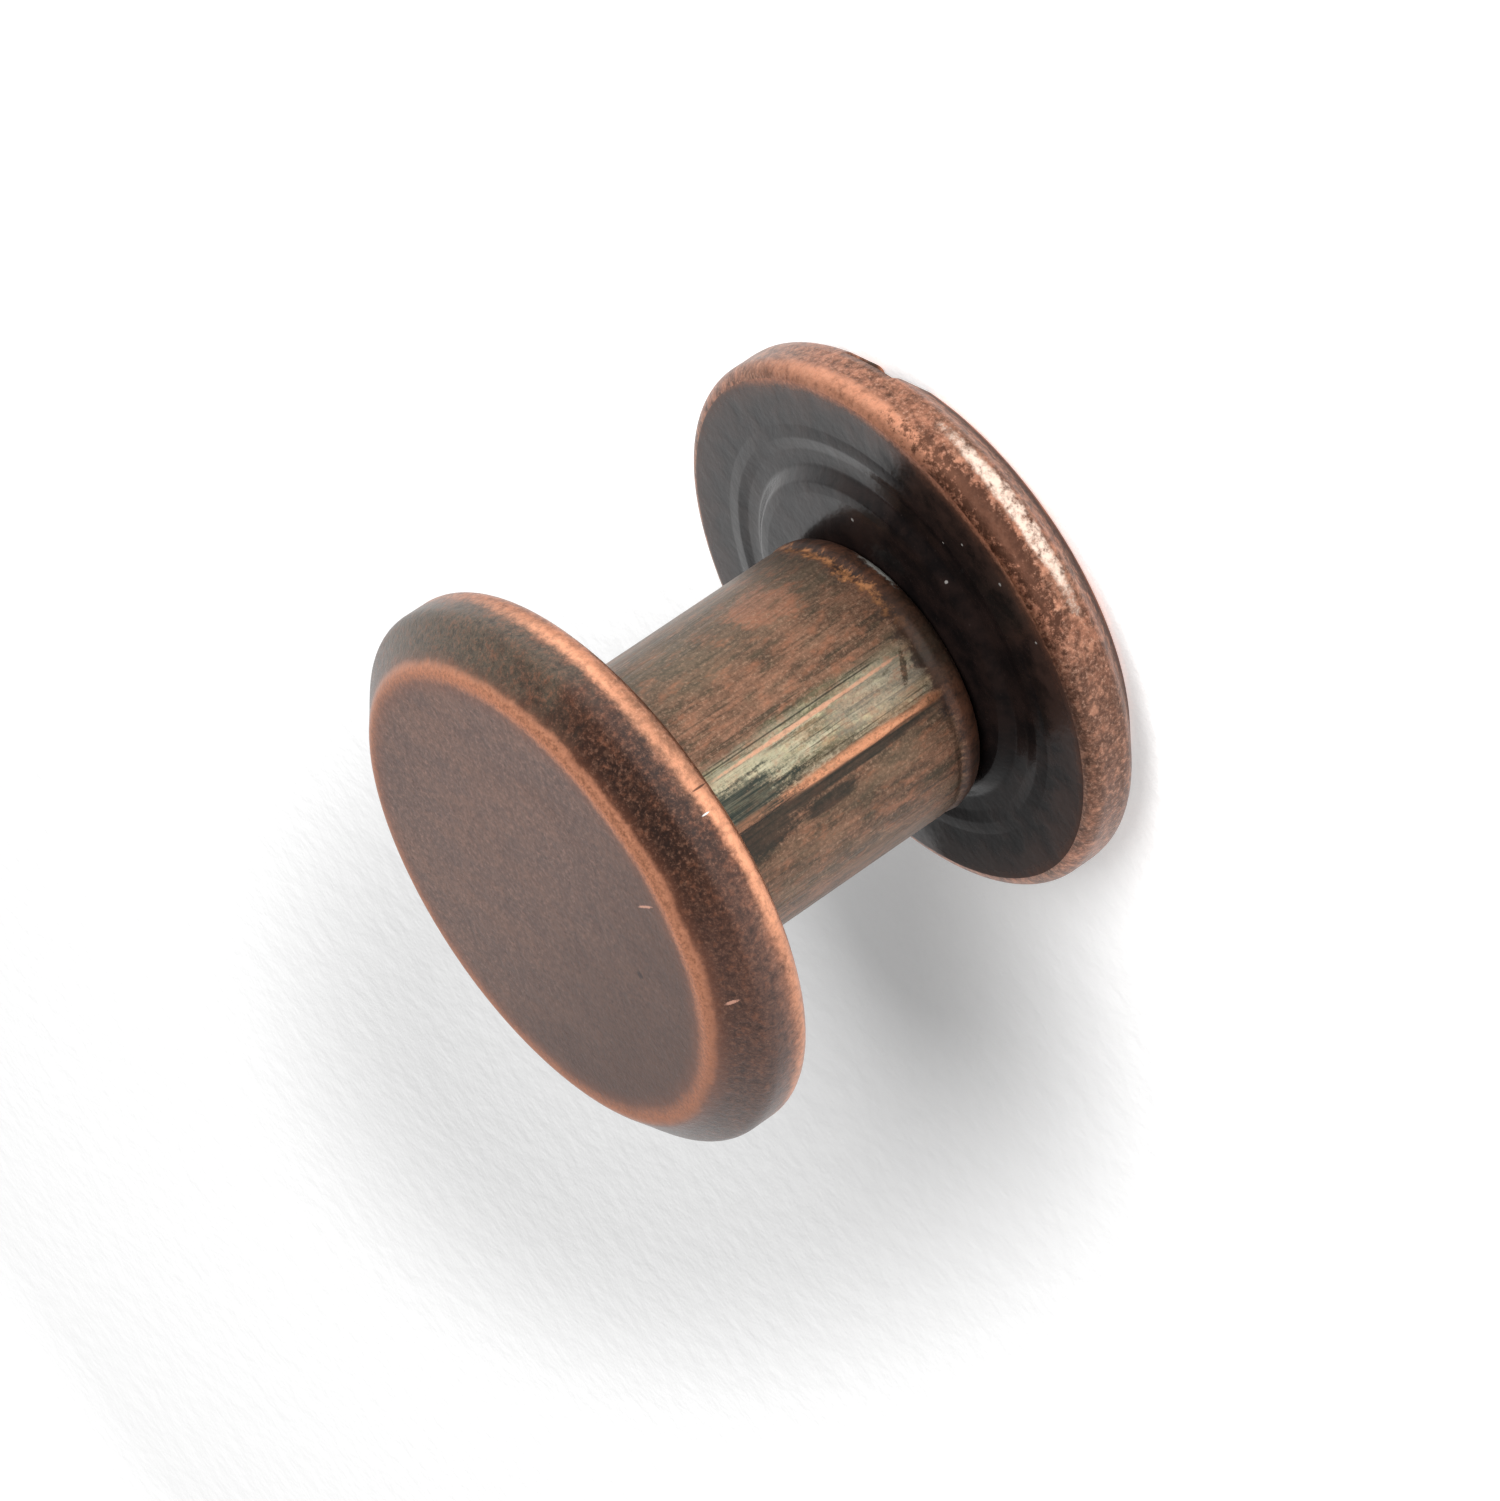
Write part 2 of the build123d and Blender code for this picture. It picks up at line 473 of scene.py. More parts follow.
class Surface(Nodes):
    """A material's nodes. Places are in millimetres about an upright line, angles in degrees from +X."""

    def __init__(self, name, centre=0.0):
        self.material = bpy.data.materials.new(name)
        self.material.use_nodes = True
        super().__init__(self.material.node_tree)
        self.shader = self.nodes["Principled BSDF"]
        self.noises = {}
        in_metres = self.new("TexCoord", {}).outputs["Object"]
        self.place = self.stretch(in_metres, (1 / MM, 1 / MM, 1 / MM), (-centre, 0, 0))
        self.x, self.y, self.z = self.new("SeparateXYZ", {0: self.place}).outputs
        self.radius = self.length(self.x, self.y)
        self.angle = self.times(self.math("ARCTAN2", self.y, self.x), 180 / math.pi)

    def length(self, u, v):
        return self.math("SQRT", self.add(self.times(u, u), self.times(v, v)))

    def stretch(self, vector, scale, shift=(0, 0, 0)):
        inputs = {"Vector": vector, "Scale": scale, "Location": shift}
        return self.new("Mapping", inputs).outputs[0]

    def noise(self, vector, scale, detail=3.0, roughness=0.55):
        inputs = {"Vector": vector, "Scale": scale, "Detail": detail, "Roughness": roughness}
        return self.new("TexNoise", inputs).outputs[0]

    def off(self, degrees):
        """Signed angle from a direction."""
        return self.math("WRAP", self.add(self.angle, -degrees), 180.0, -180.0)

    def away(self, degrees):
        return self.math("ABSOLUTE", self.off(degrees))

    def towards(self, degrees, full, none, amount=1.0, ragged=None):
        """An amount up to full degrees from a direction, falling to 0 at none degrees."""
        away = self.away(degrees)
        if ragged is not None:
            away = self.add(away, ragged)
        return self.fall(away, full, none, amount)

    def sway(self, **reaches):
        """Sum of noises about zero, each by its name with its whole reach."""
        total = 0.0
        for name, reach in reaches.items():
            total = self.add(total, self.times(self.add(self.noises[name], -0.5), reach))
        return total

    def swayed(self, x, **reaches):
        return self.add(x, self.sway(**reaches))

    def grain(self, colour, name, dark, light, amount):
        """Speckle a colour: towards dark where a noise is low, towards light where it is high."""
        source = self.noises[name]
        colour = self.mix(self.times(self.step(source, 0.50, 0.28), amount), colour, dark)
        return self.mix(self.times(self.step(source, 0.50, 0.74), amount), colour, light)

    def blot(self, u, v, half_u, half_v, ragged=0.0):
        """1 inside an ellipse about u = v = 0, 0 outside, its edge moved by ragged."""
        reach = self.length(self.times(u, 1 / half_u), self.times(v, 1 / half_v))
        return self.fall(self.add(reach, ragged), 0.70, 1.30)

    def spot(self, degrees, z, half_degrees, half_z, ragged=0.0):
        """A blot on a round side."""
        return self.blot(self.off(degrees), self.add(self.z, -z), half_degrees, half_z, ragged)

    def scratch(self, u, v, at, turn, length, width, ragged):
        """A short straight mark at a place (u, v), turned by an angle in degrees."""
        cos, sin = math.cos(math.radians(turn)), math.sin(math.radians(turn))
        u, v = self.add(u, -at[0]), self.add(v, -at[1])
        along = self.add(self.times(u, cos), self.times(v, sin))
        across = self.add(self.times(u, -sin), self.times(v, cos))
        return self.blot(along, across, length / 2, width / 2, ragged)

    def bump(self, height, distance, strength):
        """A normal from a height, where 1 stands for a distance in millimetres."""
        inputs = {"Strength": strength, "Distance": distance * MM, "Height": height}
        return self.new("Bump", inputs).outputs[0]

    def shade(self, **values):
        """Set the shader's inputs, named with _ for a space, and return the material."""
        for name, value in values.items():
            self.put(self.shader.inputs[name.replace("_", " ")], value)
        return self.material


class HeadLook(NamedTuple):
    """What sets one head's finish apart.

    A way is the distance out along the face and on round the edge, in millimetres.
    """
    centre: float
    face_z: float
    seed: float
    rim_way: float
    rim_dark: tuple
    rim_light: tuple
    # painted light and shade on the side facing the floor: paler on the near head, darker on the far one
    rim_floor_light_and_shade: tuple             # colour of the rim where it faces the floor in the photo
    rim_floor_light_and_shade_amount: float
    rim_speckle: float
    edge_way: float
    edge_wear_and_highlight_colour: tuple


NEAR_HEAD = HeadLook(
    centre=0.0,
    face_z=TOP,
    seed=3.0,
    rim_way=5.84,
    rim_dark=(0.105, 0.039, 0.022),
    rim_light=(0.35, 0.134, 0.074),
    rim_floor_light_and_shade=(0.42, 0.205, 0.138),
    rim_floor_light_and_shade_amount=0.60,
    rim_speckle=0.45,
    edge_way=6.11,
    edge_wear_and_highlight_colour=(0.93, 0.43, 0.25),
)
FAR_HEAD = HeadLook(
    centre=HEAD_OFFSET,
    face_z=0.0,
    seed=11.0,
    rim_way=4.72,
    rim_dark=(0.130, 0.054, 0.033),
    rim_light=(0.46, 0.20, 0.124),
    rim_floor_light_and_shade=(0.125, 0.066, 0.046),
    rim_floor_light_and_shade_amount=0.80,
    rim_speckle=0.32,
    edge_way=6.30,
    edge_wear_and_highlight_colour=(0.66, 0.28, 0.17),
)
BEVEL_WAY = 4.15
# the side on which the heads get painted floor light and shade
FLOOR_LIGHT_AND_SHADE_SIDE = 262.0               # direction of the heads' lower side in the photo


def matt_face(t):
    """Grey-brown, with warmer patches drawn one way and a fine speckle, and painted shade darkening one side.
    """
    colour = t.mix(t.step(t.noises["drawn"], 0.40, 0.68), (0.121, 0.072, 0.058), (0.155, 0.085, 0.062))
    colour = t.grain(colour, "fine", (0.038, 0.020, 0.016), (0.350, 0.220, 0.180), 0.65)
    colour = t.grain(colour, "grit", (0.048, 0.026, 0.021), (0.300, 0.175, 0.135), 0.80)
    colour = t.grain(colour, "spots", (0.085, 0.046, 0.036), (0.215, 0.112, 0.080), 0.45)
    colour = t.grain(colour, "mid", (0.088, 0.050, 0.041), (0.205, 0.115, 0.086), 0.40)
    # painted shade: the face is darker towards one side
    painted_shade_diagonal = t.add(t.x, t.swayed(t.y, big=5.0))
    return t.mix(t.fall(painted_shade_diagonal, -6.0, 2.5, 0.75), colour, (0.060, 0.030, 0.022))


def dark_bevel(t, look, way, low):
    """Darkest by the face and redder towards the rim, with painted light and shade: an olive reflection on
    one side, paler towards the floor, and painted shade in front on the near head.
    """
    redder = t.step(t.swayed(way, mid=0.7, fine=0.5), 4.6, 5.7)
    colour = t.mix(redder, (0.032, 0.012, 0.007), (0.060, 0.023, 0.013))
    # painted light: the bevel is paler on the side facing the floor
    colour = t.mix(t.times(low, 0.50), colour, (0.120, 0.062, 0.048))
    # painted reflection: an olive-grey sheen on the side where the bevel is seen at a grazing angle
    olive = t.towards(20.0, 18.0, 52.0, 0.85, t.sway(big=60.0, mid=50.0, fine=30.0))
    colour = t.mix(olive, colour, (0.088, 0.074, 0.053))
    if look is NEAR_HEAD:
        # painted shade: the near bevel darkened in front
        shaded = t.towards(316.0, 6.0, 28.0, 0.60, t.sway(mid=18.0, spots=8.0))
        colour = t.mix(shaded, colour, (0.014, 0.006, 0.004))
    colour = t.grain(colour, "fine", (0.010, 0.005, 0.004), (0.260, 0.130, 0.085), 0.60)
    colour = t.grain(colour, "spots", (0.012, 0.007, 0.006), (0.230, 0.090, 0.050), 0.55)
    return t.grain(colour, "fleck", (0.012, 0.007, 0.005), (0.220, 0.110, 0.070), 0.35)


def worn_line(t, way, colour):
    """A soft speckled line round the face, in a faint halo. Returns the colour and the line's mask."""
    rub = t.sway(big=0.30, mid=0.22, spots=0.20, fine=0.30)
    inner = t.add(way, t.step(t.away(30.0), 30.0, 190.0, 0.0, 0.16))
    halo = t.times(t.step(t.add(inner, t.times(rub, 0.4)), 3.75, 4.25), t.fall(t.add(way, rub), 4.25, 4.90))
    colour = t.mix(t.times(halo, 0.55), colour, (0.215, 0.078, 0.043))
    line = t.times(t.step(t.add(inner, t.times(rub, 0.5)), 4.02, 4.30),
                   t.fall(t.add(inner, t.times(rub, 1.1)), 4.30, 4.62))
    speckled = t.step(t.noises["fine"], 0.28, 0.66, 0.45, 1.0)
    strongest = t.step(t.away(320.0), 20.0, 95.0, 0.95, 0.50)
    return t.mix(t.times(line, speckled, strongest), colour, (0.92, 0.40, 0.23)), line


def rubbed_rim(t, look, way, low, colour):
    """Copper showing through brown, with painted light and shade on the side facing the floor. Returns the
    colour and the rim's mask.
    """
    rim = t.step(t.swayed(way, big=0.30, mid=0.20, spots=0.10, fine=0.08), look.rim_way, look.rim_way + 0.42)
    copper = t.mix(t.step(t.swayed(t.noises["spots"], mid=0.5), 0.28, 0.74), look.rim_dark, look.rim_light)
    copper = t.mix(t.times(t.step(t.noises["big"], 0.46, 0.66), 0.4), copper, (0.130, 0.090, 0.060))
    # painted light and shade: the rim's colour is changed on the side facing the floor
    copper = t.mix(t.times(low, look.rim_floor_light_and_shade_amount), copper, look.rim_floor_light_and_shade)
    copper = t.grain(copper, "fine", (0.040, 0.020, 0.014), (0.80, 0.46, 0.32), 0.40)
    copper = t.grain(copper, "spots", (0.055, 0.026, 0.018), (0.55, 0.25, 0.155), look.rim_speckle)
    return t.mix(t.times(rim, 0.92), colour, copper), rim


def worn_edge_and_highlight(t, look, way, colour):
    """The narrow edge that is rubbed bright, with a painted highlight and glints that make it widest and
    strongest towards the camera's right.
    """
    wider = t.step(t.away(350.0), 10.0, 80.0, 0.10, -0.05)
    way = t.swayed(t.add(way, wider), big=0.16, mid=0.12, spots=0.06, fine=0.05)
    start = look.edge_way
    edge = t.times(t.step(way, start - 0.06, start + 0.12),
                   t.step(way, start + 0.12, start + 0.32, 1.0, 0.40))
    edge = t.times(edge, t.step(t.noises["fine"], 0.28, 0.58, 0.75, 1.0),
                   t.step(t.noises["spots"], 0.36, 0.58, 0.70, 1.0))
    # painted highlight: glints along the edge, and the edge weaker away from the camera's side
    painted_glints = t.most(t.towards(298.0, 8.0, 24.0, 0.40, t.sway(mid=12.0)),
                    t.towards(347.0, 4.0, 18.0, 0.30, t.sway(mid=12.0)))
    strength = t.times(t.add(0.48, painted_glints), t.step(t.away(305.0), 50.0, 85.0, 1.0, 0.50))
    return t.mix(t.times(edge, strength), colour, look.edge_wear_and_highlight_colour)


def near_marks(t, colour):
    """Two pale scuffs, a white speck on the rim, dirt on the face, and darkening in the rim's nick."""
    scuffs = t.most(t.scratch(t.x, t.y, (1.53, -3.27), -64, 0.42, 0.045, t.sway(fine=2.2)),
                    t.scratch(t.x, t.y, (0.03, -4.60), -64, 0.18, 0.055, t.sway(fine=2.0)))
    colour = t.mix(t.times(scuffs, 0.75), colour, (0.70, 0.36, 0.26))
    colour = t.mix(t.spot(307.6, 8.12, 0.161, 0.07), colour, (0.85, 0.82, 0.78))
    dirt_and_shade = t.most(t.blot(t.add(t.x, 0.23), t.add(t.y, 2.59), 0.07, 0.07, t.sway(fine=1.2)),
                  t.spot(NICK_ANGLE, 7.95, 0.207, 0.15))
    return t.mix(t.times(dirt_and_shade, 0.8), colour, (0.02, 0.012, 0.01))


def far_marks(t, way, colour):
    """A warm glow by the underside, mottling all over the rim, a dull streak round it, and a streak of
    painted silvery glints.
    """
    glow = t.spot(352.0, 1.36, 26.0, 0.19, t.sway(spots=1.4, fine=1.8))
    colour = t.mix(t.times(glow, 0.45), colour, (0.85, 0.39, 0.235))
    rubbed = t.grain(colour, "fine", (0.055, 0.026, 0.018), (0.95, 0.62, 0.46), 0.12)
    rubbed = t.grain(rubbed, "fleck", (0.060, 0.028, 0.019), (0.75, 0.38, 0.25), 0.14)
    rubbed = t.grain(rubbed, "mottle", (0.075, 0.032, 0.020), (0.78, 0.38, 0.24), 0.34)
    dull = t.spot(317.0, 1.29, 23.0, 0.21, t.sway(spots=2.2, fine=1.4))
    rubbed = t.mix(t.times(dull, 0.85), rubbed, (0.075, 0.031, 0.019))
    # painted highlight: silvery glints where the rim's rounded corner would catch the light
    painted_silver_glints = t.spot(317.0, 0.83, 19.0, 0.15, t.sway(mid=1.2, fine=1.0))
    painted_silver_glints = t.times(painted_silver_glints, t.step(t.swayed(t.noises["spots"], mid=0.4, fine=0.1), 0.30, 0.60))
    rubbed = t.mix(t.times(painted_silver_glints, 0.85), rubbed, (0.98, 0.80, 0.67))
    return t.mix(t.step(way, 4.6, 5.1), colour, rubbed)


def head_material(name, look):
    """Antiqued head: matt face, worn line round it, dark bevel, brown rim and a rubbed edge."""
    t = Surface(name, look.centre)
    moved = t.stretch(t.place, (1, 1, 1), (look.seed, 2 * look.seed, 0))
    t.noises = {
        "big": t.noise(moved, 0.50, 3.0, 0.55),
        "drawn": t.noise(t.stretch(moved, (1.0, 0.35, 1.0)), 1.7, 3.0, 0.6),
        "mid": t.noise(moved, 2.2, 4.0, 0.62),
        "mottle": t.noise(t.place, 5.0, 3.0, 0.62),
        "spots": t.noise(moved, 6.5, 4.0, 0.68),
        "grit": t.noise(moved, 10.0, 3.0, 0.75),
        "fleck": t.noise(t.place, 10.0, 3.0, 0.75),
        "fine": t.noise(t.place, 17.0, 3.0, 0.8),
    }
    depth = t.math("ABSOLUTE", t.add(t.z, -look.face_z))
    way = t.add(t.radius, depth)
    # mask of the side facing the floor, where light and shade are painted
    low = t.towards(FLOOR_LIGHT_AND_SHADE_SIDE, 12.0, 42.0, 1.0, t.sway(mid=20.0))

    colour = t.mix(t.step(way, BEVEL_WAY, 4.45), matt_face(t), dark_bevel(t, look, way, low))
    colour, line = worn_line(t, way, colour)
    colour, rim = rubbed_rim(t, look, way, low, colour)
    colour = worn_edge_and_highlight(t, look, way, colour)
    metal = t.most(t.step(way, BEVEL_WAY, 4.6, 0.06, 0.30), t.times(t.most(rim, line), 0.85))
    roughness = t.swayed(t.step(way, BEVEL_WAY, 4.5, 0.50, 0.36), fine=0.35)
    if look is NEAR_HEAD:
        colour = near_marks(t, colour)
    else:
        colour = far_marks(t, way, colour)
        roughness = t.most(roughness, t.step(way, 4.9, 5.9, 0.62, 0.30))
        t.shade(Specular_IOR_Level=t.step(way, 4.4, 5.5, 0.15, 0.5))
    relief = t.add(t.times(t.noises["mid"], 0.5),
                   t.add(t.times(t.noises["spots"], 0.6), t.times(t.noises["fine"], 0.35)))
    return t.shade(Base_Color=colour, Roughness=roughness, Metallic=metal,
                   Normal=t.bump(relief, 0.03, 0.6))


# Dust on the far underside: distance and direction from the head's centre line, and size
DUST = ((2.44, 359.1, 0.030), (3.02, 313.5, 0.026), (4.36, 306.1, 0.030),
        (4.05, 318.0, 0.022), (3.60, 322.0, 0.020), (4.50, 292.0, 0.025))


def under_material(name, centre, dust=()):
    """Near-black lacquered underside of a head, its edge rubbed to copper."""
    t = Surface(name, centre)
    t.noises = {
        "mid": t.noise(t.place, 2.2, 4.0, 0.6),
        "spots": t.noise(t.place, 6.5, 4.0, 0.68),
        "fine": t.noise(t.place, 17.0, 3.0, 0.8),
    }
    mid, fine = t.noises["mid"], t.noises["fine"]
    colour = t.mix(t.step(mid, 0.35, 0.7), (0.005, 0.004, 0.004), (0.013, 0.008, 0.007))
    colour = t.mix(t.times(t.step(t.swayed(t.radius, mid=1.4), 3.9, 4.6), 0.8), colour, (0.030, 0.017, 0.014))
    colour = t.mix(t.times(t.step(fine, 0.64, 0.76), 0.35), colour, (0.075, 0.055, 0.050))

    worn = t.add(t.radius, t.step(t.away(350.0), 25.0, 80.0, 0.06, -0.13))
    warm = t.step(t.swayed(worn, mid=0.5, fine=0.5), 4.40, 4.85)
    colour = t.mix(t.times(warm, 0.7), colour, (0.085, 0.036, 0.022))
    edge = t.step(t.swayed(worn, mid=0.14, spots=0.10, fine=0.14), 4.64, 4.92)
    copper = t.grain((0.46, 0.195, 0.118), "fine", (0.11, 0.045, 0.028), (0.92, 0.46, 0.30), 0.6)
    colour = t.mix(edge, colour, copper)
    roughness = t.swayed(t.step(t.radius, 4.5, 4.8, 0.20, 0.38), fine=0.10, mid=0.10)

    for place_r, place_angle, size in dust:
        place = Matrix.Rotation(math.radians(place_angle), 2) @ Vector((place_r, 0))
        speck = t.blot(t.add(t.x, -place.x), t.add(t.y, -place.y), size, size, t.sway(fine=0.8))
        colour = t.mix(speck, colour, (0.20, 0.19, 0.18))
        roughness = t.most(roughness, t.times(speck, 0.8))

    # painted shade: the lacquer shines only on one side, as the photo shows it, and is dulled where the
    # underside would reflect shaded ground
    lacquer = t.step(t.swayed(t.away(260.0), mid=14.0), 76.0, 90.0, 0.04, 0.42)
    t.shade(Specular_IOR_Level=t.most(lacquer, t.times(edge, 0.5)))
    relief = t.add(mid, t.times(fine, 0.10))
    return t.shade(Base_Color=colour, Roughness=roughness, Metallic=t.times(edge, 0.85),
                   Normal=t.bump(relief, 0.04, 0.30))


def barrel_mottling(t):
    """Brown to copper along the drawing, olive on top, with one patch of bare copper."""
    coppery = t.step(t.swayed(t.noises["patch"], lines=0.7, fine=0.3), 0.28, 0.72)
    colour = t.mix(coppery, (0.085, 0.055, 0.037), (0.310, 0.155, 0.096))
    colour = t.mix(t.step(t.swayed(t.noises["broad"], patch=0.4), 0.42, 0.66, 0.0, 0.55),
                   colour, (0.150, 0.118, 0.078))
    colour = t.mix(t.towards(18.0, 14.0, 44.0, 0.55), colour, (0.120, 0.107, 0.078))
    colour = t.mix(t.step(t.noises["lines"], 0.50, 0.68, 0.0, 0.45), colour, (0.070, 0.056, 0.040))
    bare = t.spot(0.0, 3.75, 11.0, 0.50, t.sway(patch=3.6, spots=2.0, fine=1.2))
    return t.mix(t.times(bare, 0.50), colour, (0.46, 0.20, 0.120))


def barrel_flat(t, colour):
    """Silver and olive lines on the flat beside the seam, partly a painted highlight, pale and gold patches
    of painted highlight, and dark hairs over all the barrel.
    """
    flat = t.swayed(t.off(FACET_ANGLE + 1.0), lines=14.0, patch=10.0, fine=4.0)
    low, high, soft = -9.5, 11.0, 4.5
    flat = t.times(t.step(flat, low - soft, low + soft), t.fall(flat, high - soft, high + soft))
    flat = t.times(flat, t.step(t.swayed(t.z, patch=1.2), 2.3, 3.6, 0.40, 0.95))
    # silvery wear on the flat, partly a painted highlight
    silver = t.mix(t.step(t.swayed(t.noises["lines"], fine=0.4), 0.34, 0.68),
                   (0.150, 0.136, 0.078), (0.560, 0.525, 0.370))
    silver = t.mix(t.step(t.noises["patch"], 0.44, 0.66, 0.0, 0.55), silver, (0.44, 0.25, 0.14))
    silver = t.grain(silver, "olive", (0.150, 0.145, 0.095), (0.640, 0.580, 0.340), 0.50)
    colour = t.mix(flat, colour, silver)
    hairs = t.times(t.step(t.noises["hair"], 0.50, 0.68), t.step(t.away(306.0), 14.0, 40.0, 0.80, 0.35))
    colour = t.mix(hairs, colour, (0.050, 0.042, 0.030))
    # painted highlights: a pale patch and a gold patch on the flat
    pale = t.spot(305.0, 3.2, 7.0, 0.9, t.sway(lines=3.4, fine=1.6))
    colour = t.mix(t.times(pale, 0.30), colour, (0.48, 0.43, 0.35))
    painted_gold_highlight = t.spot(306.5, 6.25, 5.5, 0.9, t.sway(lines=3.0, fine=1.6))
    return t.mix(t.times(painted_gold_highlight, 0.45), colour, (0.66, 0.62, 0.43))


def barrel_lines(t, colour):
    """The worn line above the flat, the bright seam and a dark curl by the mouth."""
    worn = t.spot(311.8, 4.9, 0.75, 1.9, t.sway(patch=2.4, fine=1.6))
    colour = t.mix(t.times(worn, 0.85), colour, (0.70, 0.37, 0.24))
    seam = t.towards(SEAM_ANGLE + 0.9, 0.9, 2.8, 1.0, t.sway(patch=3.4, fine=2.0))
    seam = t.times(seam, t.step(t.z, 2.15, 2.45), t.step(t.noises["fine"], 0.30, 0.60, 0.60, 1.0))
    colour = t.mix(seam, colour, (0.68, 0.30, 0.16))
    around = t.swayed(t.times(t.off(307.0), math.radians(BARREL_R)), spots=0.12)
    curl = t.scratch(around, t.z, (0.0, 2.66), -24, 0.60, 0.105, t.sway(fine=1.6, patch=2.0))
    return t.mix(t.times(curl, 0.80), colour, (0.050, 0.030, 0.018))


def barrel_dirt_and_shade(t, colour):
    """A stain by the plain head, painted shade in the seam's groove, and dirt below it and in the hairline.
    """
    stain = t.spot(297.5, 6.55, 8.5, 1.15, t.sway(lines=2.6, fine=1.0))
    stain = t.times(stain, t.step(t.noises["hair"], 0.38, 0.62, 0.95, 0.60))
    colour = t.mix(stain, colour, (0.024, 0.034, 0.030))
    # painted shade: the shadow side of the raised seam, darkened along its groove
    groove = t.spot(SEAM_ANGLE - 3.0, 5.2, 2.2, 3.0, t.sway(lines=1.4))
    below = t.most(t.spot(284.0, 6.2, 6.0, 1.0, t.sway(patch=2.4, fine=0.8)),
                   t.spot(281.0, 4.9, 3.5, 0.55, t.sway(lines=2.0)))
    hairline = t.times(t.towards(HAIRLINE_ANGLE, 0.10, 0.48), t.step(t.swayed(t.z, patch=1.5), 2.6, 3.2))
    # dirt, with the painted shade of the seam's groove
    dirt_and_shade = t.most(t.most(groove, below), hairline)
    return t.mix(t.times(dirt_and_shade, 0.80), colour, (0.026, 0.026, 0.022))


def barrel_mouth(t, colour):
    """Dark rust round the mouth, with orange flecks of painted highlight along the lip's top and a streak of
    lacquer painted as a grey reflection. Also returns the rust's mask.
    """
    ragged = t.swayed(t.z, patch=0.9, fine=0.25)
    ragged = t.add(ragged, t.times(t.blot(t.off(346.0), 0.0, 56.0, 1.0), -0.19))
    mouth = t.fall(ragged, PAD_TOP + 0.46, PAD_TOP + 0.66)
    rust = t.mix(t.step(t.swayed(t.noises["patch"], fine=0.5), 0.34, 0.64),
                 (0.018, 0.008, 0.005), (0.092, 0.035, 0.018))
    rust = t.mix(t.towards(316.0, 10.0, 34.0, 0.75), rust, (0.014, 0.007, 0.004))
    colour = t.mix(t.times(mouth, 0.95), colour, rust)
    # painted highlight: orange flecks along the top of the lip's rounding
    low, high, soft = PAD_TOP + 0.32, PAD_TOP + 0.48, 0.07
    painted_lip_highlight = t.times(t.step(ragged, low - soft, low + soft), t.fall(ragged, high - soft, high + soft))
    painted_lip_highlight = t.times(painted_lip_highlight, t.towards(4.0, 18.0, 50.0))
    colour = t.mix(t.times(painted_lip_highlight, t.step(t.noises["spots"], 0.36, 0.60), 0.75), colour, (0.48, 0.21, 0.085))
    # painted reflection: a grey streak of light on the lacquer at the mouth
    lacquer = t.spot(345.0, 1.80, 9.5, 0.095, t.sway(spots=2.4, fine=1.6))
    return t.mix(t.times(lacquer, 0.90), colour, (0.36, 0.36, 0.33)), mouth


def barrel_material(name):
    """Drawn barrel: copper, brown and olive mottling along it, and a silvery flat beside the seam, partly a
    painted highlight.
    """
    t = Surface(name)
    t.noises = {
        "broad": t.noise(t.stretch(t.place, (1, 1, 0.35), (4, 0, 0)), 0.9, 3.0, 0.6),
        "patch": t.noise(t.stretch(t.place, (1, 1, 0.40)), 3.0, 5.0, 0.68),
        "blotch": t.noise(t.stretch(t.place, (1, 1, 0.5), (7, 3, 0)), 5.5, 3.0, 0.7),
        "lines": t.noise(t.stretch(t.place, (1, 1, 0.11)), 6.0, 5.0, 0.66),
        "spots": t.noise(t.place, 6.5, 4.0, 0.68),
        "olive": t.noise(t.stretch(t.place, (1, 1, 0.45), (2, 9, 0)), 8.0, 3.0, 0.7),
        "fine": t.noise(t.place, 17.0, 3.0, 0.8),
        "hair": t.noise(t.stretch(t.place, (1, 1, 0.035)), 19.0, 2.0, 0.6),
    }
    colour = barrel_lines(t, barrel_flat(t, barrel_mottling(t)))
    colour = t.grain(colour, "fine", (0.034, 0.024, 0.016), (0.62, 0.42, 0.28), 0.34)
    colour = t.grain(colour, "blotch", (0.075, 0.066, 0.042), (0.40, 0.165, 0.090), 0.46)
    colour, mouth = barrel_mouth(t, barrel_dirt_and_shade(t, colour))
    roughness = t.swayed(t.step(mouth, 0.0, 1.0, 0.40, 0.56), lines=0.25, fine=0.20)
    metal = t.times(t.step(mouth, 0.0, 1.0, 1.0, 0.25), 0.82)
    relief = t.add(t.times(t.noises["lines"], 0.8),
                   t.add(t.times(t.noises["hair"], 0.35), t.times(t.noises["fine"], 0.25)))
    return t.shade(Base_Color=colour, Roughness=roughness, Metallic=metal,
                   Normal=t.bump(relief, 0.04, 0.55))


def thread_material(name):
    """Worn thread crests and a worn tip over dark flanks."""
    t = Surface(name)
    fine = t.noise(t.place, 14.0, 4.0, 0.7)
    uneven = t.times(t.add(fine, -0.5), 0.2)
    crests = t.step(t.add(t.radius, uneven), 1.65, 2.0)
    tip = t.step(t.z, SHANK_TIP - 0.05, SHANK_TIP - 0.01, 0.0, 0.6)
    colour = t.mix(t.most(crests, tip), (0.07, 0.036, 0.024), (0.42, 0.22, 0.13))
    return t.shade(Base_Color=colour, Roughness=t.add(0.42, uneven), Metallic=0.9,
                   Normal=t.bump(fine, 0.03, 0.4))


def dress(piece, materials, zone):
    """Give each face the material whose name zone returns for the face's centre in millimetres."""
    names = list(materials)
    for material in materials.values():
        piece.data.materials.append(material)
    for face in piece.data.polygons:
        face.material_index = names.index(zone(face.center / MM))


